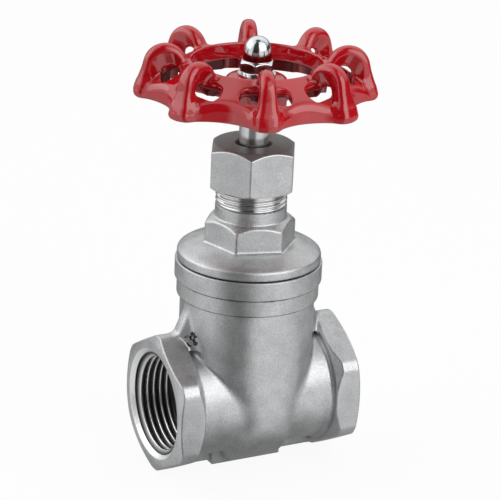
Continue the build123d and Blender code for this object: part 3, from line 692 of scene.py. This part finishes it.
def cap_field(x, y, z):
    """Domed nut: a small seat, a hexagon with turned corners, and a dome that swells downwards."""
    r = np.hypot(x, y)
    corner = corner_radius(CAP_FLATS)
    outline = (
        (0, CAP_SEAT_TOP),
        (corner - CAP_LOWER_TURN[0], CAP_SEAT_TOP),
        (corner, CAP_SEAT_TOP + CAP_LOWER_TURN[1]),
        (corner, CAP_HEX_TOP - CAP_UPPER_TURN),
        (CAP_SHOULDER_R, CAP_HEX_TOP),
        (0, CAP_HEX_TOP),
    )
    form = both(turned(r, z, outline, 0.12), hexagon(x, y, CAP_FLATS, CAP_TURN, 0.2), 0.2)
    seat = np.maximum(r - CAP_SEAT_R, slab(z, CAP_Z, CAP_SEAT_TOP + 0.2))
    dome = np.maximum(dome_form(r, z), CAP_SEAT_TOP - z)
    form = np.minimum(join(form, dome, 0.25), seat)
    blind = np.maximum(r - CAP_BORE_R, slab(z, CAP_Z - 1, STEM_TOP + 1))
    return np.maximum(form, -blind)


def make_bonnet():
    low, high = low_mm("bonnet"), high_mm("bonnet")
    piece = modelled("bonnet_cast", bonnet_field, low, high, cell=0.34, keep=0.45)
    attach(piece, "housing")
    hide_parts("bonnet")
    return piece


def make_nut():
    low, high = low_mm("packing_nut"), high_mm("packing_nut")
    piece = modelled("packing_nut_hexagon", nut_field, low, high, cell=0.26, keep=0.5)
    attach(piece, "housing")
    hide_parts("packing_nut")
    return piece


def make_cap():
    low, high = low_mm("cap_nut"), high_mm("cap_nut")
    piece = modelled("cap_nut_domed", cap_field, low, high, cell=0.13, keep=0.6)
    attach(piece, "spindle")
    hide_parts("cap_nut")
    return piece


# === Threads ================================================
def thread_height(turns):
    """Height of a thread with narrow flats, from 0 at the root to 1 at the crest, along its pitch."""
    ramp = 1 - np.abs(2 * (turns % 1) - 1)
    return np.clip((ramp - 0.12) / 0.76, 0, 1)


def threaded_sleeve(name, root_r, rise, back_r, start, length, pitch, segments=144, per_pitch=14):
    """A thin sleeve about the local Z axis with a helical ridge on one face and a plain other face.
    The ridge is rise high, towards the axis where rise is negative, and runs out at both ends."""
    steps = int(round(length / pitch * per_pitch))
    z = np.linspace(0, length, steps + 1)[:, None]
    angles = np.linspace(0, 2 * math.pi, segments, endpoint=False)[None, :]
    fade = np.clip(np.minimum(z / (0.5 * pitch), (length - z) / (0.8 * pitch)), 0, 1)
    r = root_r + rise * thread_height(z / pitch - angles / (2 * math.pi)) * fade
    face = np.stack([r * np.cos(angles), r * np.sin(angles), np.broadcast_to(start + z, r.shape)], -1)
    circle = np.stack([back_r * np.cos(angles[0]), back_r * np.sin(angles[0]), np.full(segments, start)], 1)
    back = [circle + (0, 0, height) for height in (length, 0)]
    made = woven(name, np.concatenate([face.reshape(-1, 3), *back]), steps + 3, segments)
    if rise < 0:
        made.data.flip_normals()
    return made


def make_pipe_threads():
    """The internal pipe thread of each end, lying on the bore."""
    length = THREAD_LENGTH - THREAD_INSET - 0.3
    made = []
    for name, side in (("inlet_thread", -1), ("outlet_thread", 1)):
        root, back = THREAD_R - 0.04, THREAD_R - 0.01
        sleeve = threaded_sleeve(name, root, -THREAD_DEPTH, back, 0, length, THREAD_PITCH)
        place = Matrix.Translation(Vector((side * (END_X - THREAD_INSET), 0, PIPE_Z)) * MM)
        sleeve.data.transform(place @ Matrix.Rotation(-side * math.pi / 2, 4, "Y"))
        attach(sleeve, "housing")
        made.append(sleeve)
    return made


def make_gland_thread():
    """The external thread of the bonnet neck, below and inside the packing nut."""
    length = NECK_TOP - GLAND_THREAD_Z - 0.6
    root = GLAND_R - GLAND_THREAD_DEPTH
    sleeve = threaded_sleeve(
        "gland_thread", root, GLAND_THREAD_DEPTH, GLAND_CORE_R - 0.05, GLAND_THREAD_Z, length, GLAND_PITCH)
    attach(sleeve, "housing")
    return sleeve


# === Node trees =============================================
class Nodes:
    """Short ways to add nodes to a tree."""

    def __init__(self, tree):
        self.tree = tree

    def link(self, start, end):
        self.tree.links.new(start, end)

    def feed(self, socket, value):
        if isinstance(value, bpy.types.NodeSocket):
            self.link(value, socket)
        else:
            socket.default_value = value

    def node(self, kind, operation=None, **sockets):
        made = self.tree.nodes.new(kind)
        if operation:
            made.operation = operation
        for socket, value in sockets.items():
            self.feed(made.inputs[socket.replace("_", " ")], value)
        return made

    def math(self, operation, *values):
        made = self.node("ShaderNodeMath", operation)
        for socket, value in zip(made.inputs, values):
            self.feed(socket, value)
        return made.outputs[0]

    def product(self, *values):
        total = values[0]
        for value in values[1:]:
            total = self.math("MULTIPLY", total, value)
        return total

    def length(self, a, b):
        """Length of a vector with two parts."""
        return self.math("SQRT", self.math("ADD", self.product(a, a), self.product(b, b)))

    def span(self, value, low, high, out_low=0.0, out_high=1.0):
        """Value between two limits, remapped and clamped."""
        made = self.node("ShaderNodeMapRange", From_Min=low, From_Max=high, To_Min=out_low, To_Max=out_high)
        self.feed(made.inputs["Value"], value)
        return made.outputs[0]

    def step(self, value, low, high):
        """Smooth step from 0 at low to 1 at high."""
        made = self.node("ShaderNodeMapRange", From_Min=low, From_Max=high)
        made.interpolation_type = "SMOOTHSTEP"
        self.feed(made.inputs["Value"], value)
        return made.outputs[0]

    def mix(self, share, first, second):
        """Number between two, by share."""
        return self.math("ADD", first, self.product(share, self.math("SUBTRACT", second, first)))

    def along(self, vector, direction):
        """How far a vector reaches in a direction."""
        made = self.node("ShaderNodeVectorMath", "DOT_PRODUCT")
        self.link(vector, made.inputs[0])
        made.inputs[1].default_value = direction
        return made.outputs["Value"]

    def by_bearing(self, vector, table, full):
        """Interpolated columns of a table of (bearing, value, value, value). The ramp holds value / full."""
        turn = self.math("ARCTAN2", self.along(vector, horizontal(90)), self.along(vector, horizontal(0)))
        ramp = self.node("ShaderNodeValToRGB", Fac=self.math("MULTIPLY_ADD", turn, 0.5 / math.pi, 0.5))
        elements = ramp.color_ramp.elements
        while len(elements) < len(table):
            elements.new(0.5)
        for element, (bearing, *values) in zip(elements, table):
            element.position = bearing / 360 + 0.5
            element.color = (*(value / full for value in values), 1)
        parts = self.node("ShaderNodeSeparateColor", Color=ramp.outputs[0])
        return [self.product(part, full) for part in parts.outputs]


class Shader(Nodes):
    """A node material in the making, round a principled shader."""

    def __init__(self, name):
        self.material = bpy.data.materials.new(name)
        self.material.use_nodes = True
        super().__init__(self.material.node_tree)
        self.main = self.tree.nodes["Principled BSDF"]
        scale = self.node("ShaderNodeVectorMath", "SCALE", Scale=1 / MM)
        self.link(self.node("ShaderNodeTexCoord").outputs["Object"], scale.inputs[0])
        self.place = scale.outputs[0]           # in millimetres
        self.x, self.y, self.z = self.node("ShaderNodeSeparateXYZ", Vector=self.place).outputs

    def from_stem(self):
        """Distance from the axis of the stem."""
        return self.length(self.x, self.y)

    def from_pipe(self):
        """Distance from the axis of the pipe."""
        return self.length(self.y, self.math("SUBTRACT", self.z, PIPE_Z))

    def noise(self, period, detail=3.0, roughness=0.55):
        """Noise of about that period, in millimetres."""
        made = self.node(
            "ShaderNodeTexNoise", Vector=self.place, Scale=1 / period, Detail=detail, Roughness=roughness)
        return made.outputs["Fac"]

    def blend(self, share, first, second):
        """Colour between two, by share."""
        made = self.node("ShaderNodeMix")
        made.data_type = "RGBA"
        self.feed(made.inputs[0], share)
        for socket, value in zip(made.inputs[6:8], (first, second)):
            self.feed(socket, value if isinstance(value, bpy.types.NodeSocket) else (*value, 1))
        return made.outputs[2]

    def bump(self, height, depth, under=None):
        """Bump by a height from 0 to 1 that stands for depth millimetres."""
        made = self.node("ShaderNodeBump", Strength=1.0, Distance=depth * MM, Height=height)
        if under:
            self.link(under, made.inputs["Normal"])
        return made.outputs[0]

    def finish(self, **sockets):
        for socket, value in sockets.items():
            self.feed(self.main.inputs[socket.replace("_", " ")], value)
        return self.material


# === Materials ==============================================
def sand_blasted(s):
    """Grain, mottling and colour of a sand-blasted casting."""
    grain = s.noise(0.5, 2.0, 0.7)
    mottle = s.noise(5.0, 4.0)
    tone = s.math("ADD", s.product(grain, 0.6), s.product(mottle, 0.4))
    colour = s.blend(s.span(tone, 0.36, 0.64), (0.46, 0.467, 0.472), (0.68, 0.69, 0.697))
    return grain, mottle, colour


def cast_steel(name, ledge_shades=()):
    """Stainless casting with a patch of pits, bright turned mouths of the pipe, and painted shade
    under the ledges of the rings. Each band of shade is a height and a half width."""
    s = Shader(name)
    grain, mottle, colour = sand_blasted(s)
    away = s.node("ShaderNodeVectorMath", "DISTANCE")
    s.link(s.place, away.inputs[0])
    away.inputs[1].default_value = PIT_PLACE
    near = s.span(away.outputs["Value"], 1.8, 4.4, 0.44, 0.0)
    pits = s.span(s.math("ADD", s.noise(1.0, 2.5, 0.65), near), 0.90, 0.94)
    colour = s.blend(pits, colour, (0.06, 0.06, 0.06))
    mouth_r, mouth_x = THREAD_R + MOUTH_CHAMFER, END_X - MOUTH_CHAMFER
    mouth = s.product(
        s.span(s.from_pipe(), mouth_r - 0.1, mouth_r + 0.1, 1.0, 0.0),
        s.span(s.math("ABSOLUTE", s.x), mouth_x - 0.6, mouth_x - 0.2))
    colour = s.blend(mouth, colour, (0.90, 0.905, 0.91))
    # painted shade under the ring ledges: a dark band at each given height, its edge wobbled by the mottle
    for height, half in ledge_shades:
        gap = s.math("ABSOLUTE", s.math("SUBTRACT", s.z, height))
        gap = s.math("ADD", gap, s.span(mottle, 0.3, 0.7, -0.1, 0.1))
        colour = s.blend(s.span(gap, half * 0.4, half, 0.9, 0.0), colour, (0.08, 0.08, 0.08))
    return s.finish(
        Base_Color=colour,
        Metallic=1.0,
        Roughness=s.span(mottle, 0.3, 0.7, 0.36, 0.44),
        Normal=s.bump(s.math("SUBTRACT", grain, s.product(pits, 4.0)), 0.06, s.bump(mottle, 0.12)),
    )


def nut_steel():
    """Cast flats under a turned top: dull and darker where it faces up, with a painted highlight along the
    edge.
    """
    s = Shader("packing nut stainless")
    grain, mottle, colour = sand_blasted(s)
    normal = s.node("ShaderNodeNewGeometry").outputs["Normal"]
    upward = s.node("ShaderNodeSeparateXYZ", Vector=normal).outputs[2]
    faced = s.span(upward, 0.55, 0.72)
    # painted highlight: near-white colour on the edges whose faces turn from the flats towards the top
    edge_highlight = s.product(s.span(upward, 0.06, 0.22), s.span(upward, 0.42, 0.60, 1.0, 0.0))
    colour = s.blend(s.product(faced, 0.85), colour, (0.25, 0.27, 0.26))
    colour = s.blend(edge_highlight, colour, (0.95, 0.95, 0.95))
    rings = s.product(s.math("SINE", s.product(s.from_stem(), 14.0)), faced)
    return s.finish(
        Base_Color=colour,
        Metallic=1.0,
        Roughness=s.span(mottle, 0.3, 0.7, 0.44, 0.52),
        Normal=s.bump(rings, 0.006, s.bump(grain, 0.08, s.bump(mottle, 0.12))),
    )


def machined_steel():
    """Turned stainless with a faint grain."""
    s = Shader("machined stainless")
    return s.finish(
        Base_Color=s.blend(s.noise(2.0), (0.58, 0.58, 0.58), (0.70, 0.70, 0.70)),
        Metallic=1.0,
        Roughness=0.16,
        Normal=s.bump(s.noise(0.25, 2.0), 0.002),
    )


def cut_thread():
    """Tapped thread: bright along the crests; between them duller, with painted shade in the roots."""
    s = Shader("cut thread")
    # depth runs from 0 at the crests to 1 at the roots; the darker colour towards the roots is painted shade
    depth = s.span(s.from_pipe(), THREAD_R - 1.25, THREAD_R - 0.3)
    return s.finish(
        Base_Color=s.blend(depth, (0.72, 0.72, 0.72), (0.10, 0.10, 0.10)),
        Metallic=1.0,
        Roughness=s.span(depth, 0.0, 1.0, 0.22, 0.45),
        Normal=s.bump(s.noise(0.3, 2.0), 0.01),
    )


def red_enamel():
    """Thick glossy red enamel with a gentle orange-peel surface; painted shade inside the hollow of the rim,
    as darker colour and less coat.
    """
    s = Shader("red enamel")
    colour = s.blend(s.span(s.noise(9.0, 2.0), 0.3, 0.7), (0.50, 0.003, 0.009), (0.57, 0.004, 0.012))
    radius = s.from_stem()
    roof_slope = (ROOF_TOP - CREASE_RISE) / (CREASE_R - INNER_R)
    roof = s.math("SUBTRACT", RIM_Z + ROOF_TOP, s.product(s.math("SUBTRACT", radius, INNER_R), roof_slope))
    # painted shade inside the hollow under the rim's roof, between the inner wall and the skirt
    hollow = s.product(
        s.span(s.math("SUBTRACT", roof, s.z), 1.0, 2.6),
        s.span(radius, INNER_R + 1.6, INNER_R + 2.3),
        s.span(radius, CREASE_R - 1.2, CREASE_R - 0.6, 1.0, 0.0))
    return s.finish(
        Base_Color=s.blend(hollow, colour, (0.15, 0.003, 0.005)),
        Roughness=0.5,
        Specular_IOR_Level=0.0,
        Coat_Weight=s.span(hollow, 0.0, 1.0, 1.0, 0.25),
        Coat_IOR=1.8,
        Coat_Roughness=0.05,
        Normal=s.bump(s.noise(2.2, 1.0), 0.03),
    )


def chrome():
    """Bright plating, shaded round the foot of the cap nut's dome."""
    s = Shader("chrome plate")
    plate = s.blend(s.noise(3.0), (0.70, 0.76, 0.77), (0.76, 0.82, 0.83))
    shade = s.product(
        s.span(s.z, CAP_TOP - 7.6, CAP_TOP - 7.2), s.span(s.z, CAP_TOP - 5.6, CAP_TOP - 4.6, 1.0, 0.0))
    return s.finish(
        Base_Color=s.blend(shade, plate, (0.20, 0.23, 0.23)),
        Metallic=1.0,
        Roughness=0.07,
        Normal=s.bump(s.noise(1.5), 0.004),
    )


def ptfe():
    """Matt sealing plastic."""
    s = Shader("ptfe")
    return s.finish(
        Base_Color=s.blend(s.noise(1.0), (0.80, 0.79, 0.76), (0.88, 0.87, 0.84)),
        Roughness=0.6,
        Normal=s.bump(s.noise(0.4), 0.01),
    )


def paint(pieces, material):
    """Gives pieces one material in place of theirs."""
    for piece in pieces:
        piece.data.materials.clear()
        piece.data.materials.append(material)


# === Studio =================================================
CAMERA_TURN = -27.796        # degrees about the stem, 0 looks along +Y
CAMERA_RISE = 20.59
CAMERA_ROLL = -2.52
CAMERA_DISTANCE = 809.21
CAMERA_SHIFT = (2.32, 45.51)  # of the camera to the right and up, from the pipe axis
LENS = 177.86

# Brightness of the studio by bearing: below the horizon, level, and above it.
STUDIO = (
    (-180, 0.16, 0.20, 1.00),
    (-148, 0.20, 0.24, 1.05),
    (-136, 0.28, 0.88, 1.10),
    (-45, 0.64, 0.76, 0.88),
    (-36, 0.12, 0.03, 0.05),
    (8, 0.12, 0.03, 0.05),
    (16, 0.64, 0.84, 1.10),
    (80, 0.64, 0.84, 1.10),
    (90, 0.40, 0.05, 0.45),
    (130, 0.40, 0.05, 0.95),
    (142, 0.16, 0.20, 1.00),
    (180, 0.16, 0.20, 1.00),
)
STUDIO_FULL = 3.0            # brightness that the ramp holds as 1
OVERHEAD = 0.1
# Heights, as the sine of the elevation, between which one band of the studio passes into the next.
TO_LEVEL = (-0.34, -0.14)
TO_ABOVE = (0.12, 0.40)
TO_OVERHEAD = (0.92, 0.99)

# How dark the floor shows in reflections, by bearing, and the radii in metres where that begins.
FLOOR_DARK = tuple((bearing, dark, dark, dark) for bearing, dark in (
    (-180, 0.8), (-130, 0.75), (-96, 0.35), (-60, 0.15), (-48, 0.05), (-34, 0.85), (8, 0.85), (22, 0.05),
    (60, 0.05), (85, 0.4), (115, 0.5), (150, 0.85), (180, 0.8),
))
FLOOR_DARK_FROM = (0.03, 0.06)
FLOOR_DARKEST = 0.92
VALVE_SHADOW_RADII = (0.02, 0.07)   # radii in metres between which the painted shadow on the floor under the valve fades out
# tone of the floor in that painted shadow
VALVE_SHADOW_TONE = 0.3
FLOOR_HALF = 3000.0
FLOOR_PALE = 0.9
FLOOR_GLOW = 0.93            # share of its own glow in what the camera and reflections see

LAMP_DISTANCE = 0.75         # metres
LAMP_AIM = 0.07              # metres over the floor


def horizontal(bearing):
    """Unit direction at a bearing in degrees, from the camera's side towards the right of the picture."""
    turn = math.radians(CAMERA_TURN + bearing)
    return Vector((math.sin(turn), -math.cos(turn), 0))


def camera_axes():
    """Right, up and backwards directions of the camera."""
    turn, rise, roll = (math.radians(a) for a in (CAMERA_TURN, CAMERA_RISE, CAMERA_ROLL))
    back = Vector((math.sin(turn) * math.cos(rise), -math.cos(turn) * math.cos(rise), math.sin(rise)))
    right = Vector((math.cos(turn), math.sin(turn), 0))
    up = back.cross(right)
    rolled_right = math.cos(roll) * right - math.sin(roll) * up
    rolled_up = math.sin(roll) * right + math.cos(roll) * up
    return rolled_right, rolled_up, back


def make_camera():
    right, up, back = camera_axes()
    place = Vector((0, 0, PIPE_Z)) + back * CAMERA_DISTANCE + right * CAMERA_SHIFT[0] + up * CAMERA_SHIFT[1]
    data = bpy.data.cameras.new("camera")
    data.lens = LENS
    data.clip_end = 20
    camera = bpy.data.objects.new("camera", data)
    bpy.context.scene.collection.objects.link(camera)
    camera.matrix_world = Matrix.Translation(place * MM) @ Matrix((right, up, back)).transposed().to_4x4()
    bpy.context.scene.camera = camera


def make_lamp(name, bearing, elevation, size, radiance):
    """A soft box, aimed at the middle of the valve; sizes in metres, radiance 1 shows as white."""
    data = bpy.data.lights.new(name, "AREA")
    data.shape = "RECTANGLE"
    data.size, data.size_y = size
    data.energy = radiance * math.pi * size[0] * size[1]
    lamp = bpy.data.objects.new(name, data)
    bpy.context.scene.collection.objects.link(lamp)
    rise = math.radians(elevation)
    away = horizontal(bearing) * math.cos(rise) + Vector((0, 0, math.sin(rise)))
    lamp.location = Vector((0, 0, LAMP_AIM)) + away * LAMP_DISTANCE
    lamp.rotation_euler = away.to_track_quat("Z", "Y").to_euler()


def make_world():
    """A studio with a dark camera side and pale sides; the camera itself sees plain white."""
    world = bpy.data.worlds.new("studio")
    bpy.context.scene.world = world
    world.use_nodes = True
    world.node_tree.nodes.clear()
    s = Nodes(world.node_tree)
    direction = s.node("ShaderNodeTexCoord").outputs["Generated"]
    height = s.along(direction, (0, 0, 1))
    below, level, above = s.by_bearing(direction, STUDIO, STUDIO_FULL)
    strength = s.mix(s.step(height, *TO_LEVEL), below, level)
    strength = s.mix(s.step(height, *TO_ABOVE), strength, above)
    strength = s.mix(s.step(height, *TO_OVERHEAD), strength, OVERHEAD)
    strength = s.mix(s.node("ShaderNodeLightPath").outputs["Is Camera Ray"], strength, 1.0)
    studio = s.node("ShaderNodeBackground", Color=(1, 1, 1, 1), Strength=strength)
    s.link(studio.outputs[0], s.node("ShaderNodeOutputWorld").inputs[0])


def make_floor():
    """Plain white floor that keeps the shadow of the valve. Reflections see it darker by bearing, with a
    painted shadow under the valve.
    """
    corners = [(x * FLOOR_HALF, y * FLOOR_HALF, 0) for x, y in ((-1, -1), (1, -1), (1, 1), (-1, 1))]
    floor = add_mesh("floor", corners, [(0, 1, 2, 3)])
    material = bpy.data.materials.new("pale floor")
    material.use_nodes = True
    s = Nodes(material.node_tree)
    place = s.node("ShaderNodeTexCoord").outputs["Object"]
    away = s.node("ShaderNodeVectorMath", "LENGTH", Vector=place).outputs["Value"]
    dark = s.product(s.step(away, *FLOOR_DARK_FROM), s.by_bearing(place, FLOOR_DARK, 1.0)[0])
    tone = s.math("SUBTRACT", 1.0, s.product(dark, FLOOR_DARKEST))
    # painted shadow under the valve, for every ray but the camera's
    tone = s.product(tone, s.mix(s.step(away, *VALVE_SHADOW_RADII), VALVE_SHADOW_TONE, 1.0))
    path = s.node("ShaderNodeLightPath").outputs
    shown = s.math("MAXIMUM", tone, path["Is Camera Ray"])
    matt = s.tree.nodes["Principled BSDF"]
    s.link(s.product(shown, FLOOR_PALE), matt.inputs["Base Color"])
    matt.inputs["Roughness"].default_value = 0.9
    matt.inputs["Specular IOR Level"].default_value = 0.0
    glow = s.node("ShaderNodeEmission", Strength=shown)
    mirrored = s.math("MAXIMUM", path["Is Glossy Ray"], path["Is Transmission Ray"])
    seen = s.math("MAXIMUM", path["Is Camera Ray"], mirrored)
    mix = s.node("ShaderNodeMixShader", Fac=s.product(seen, FLOOR_GLOW))
    s.link(matt.outputs[0], mix.inputs[1])
    s.link(glow.outputs[0], mix.inputs[2])
    s.link(mix.outputs[0], s.tree.nodes["Material Output"].inputs[0])
    paint([floor], material)


# === The scene ==============================================
def main():
    nodes = frame["nodes"]
    wheel = make_handwheel()
    body = make_body()
    bonnet = make_bonnet()
    nut = make_nut()
    cap = make_cap()
    pipe_threads = make_pipe_threads()
    gland_thread = make_gland_thread()
    turned_nodes = ("gate_wedge", "thrust_washer", "packing_washer", "gland_follower", "stem")
    sealing_nodes = ("bonnet_gasket", "packing_ring_lower", "packing_ring_middle", "packing_ring_upper")
    # the two ring heights get painted shade under the rings' ledges
    paint([body], cast_steel("cast body", ((RINGS_Z, 0.50), (RING_STEP_Z, 0.45))))
    paint([bonnet], cast_steel("cast stainless"))
    paint([nut], nut_steel())
    paint(pipe_threads, cut_thread())
    paint([gland_thread, *(nodes[name] for name in turned_nodes)], machined_steel())
    paint([wheel], red_enamel())
    paint([cap, nodes["wheel_washer"]], chrome())
    paint([nodes[name] for name in sealing_nodes], ptfe())
    make_floor()
    make_world()
    make_lamp("left soft box", -95, 32, (0.8, 0.55), 0.80)
    make_lamp("right soft box", 50, 30, (0.75, 0.55), 1.05)
    make_camera()
    bpy.context.scene.view_settings.view_transform = "Standard"


main()
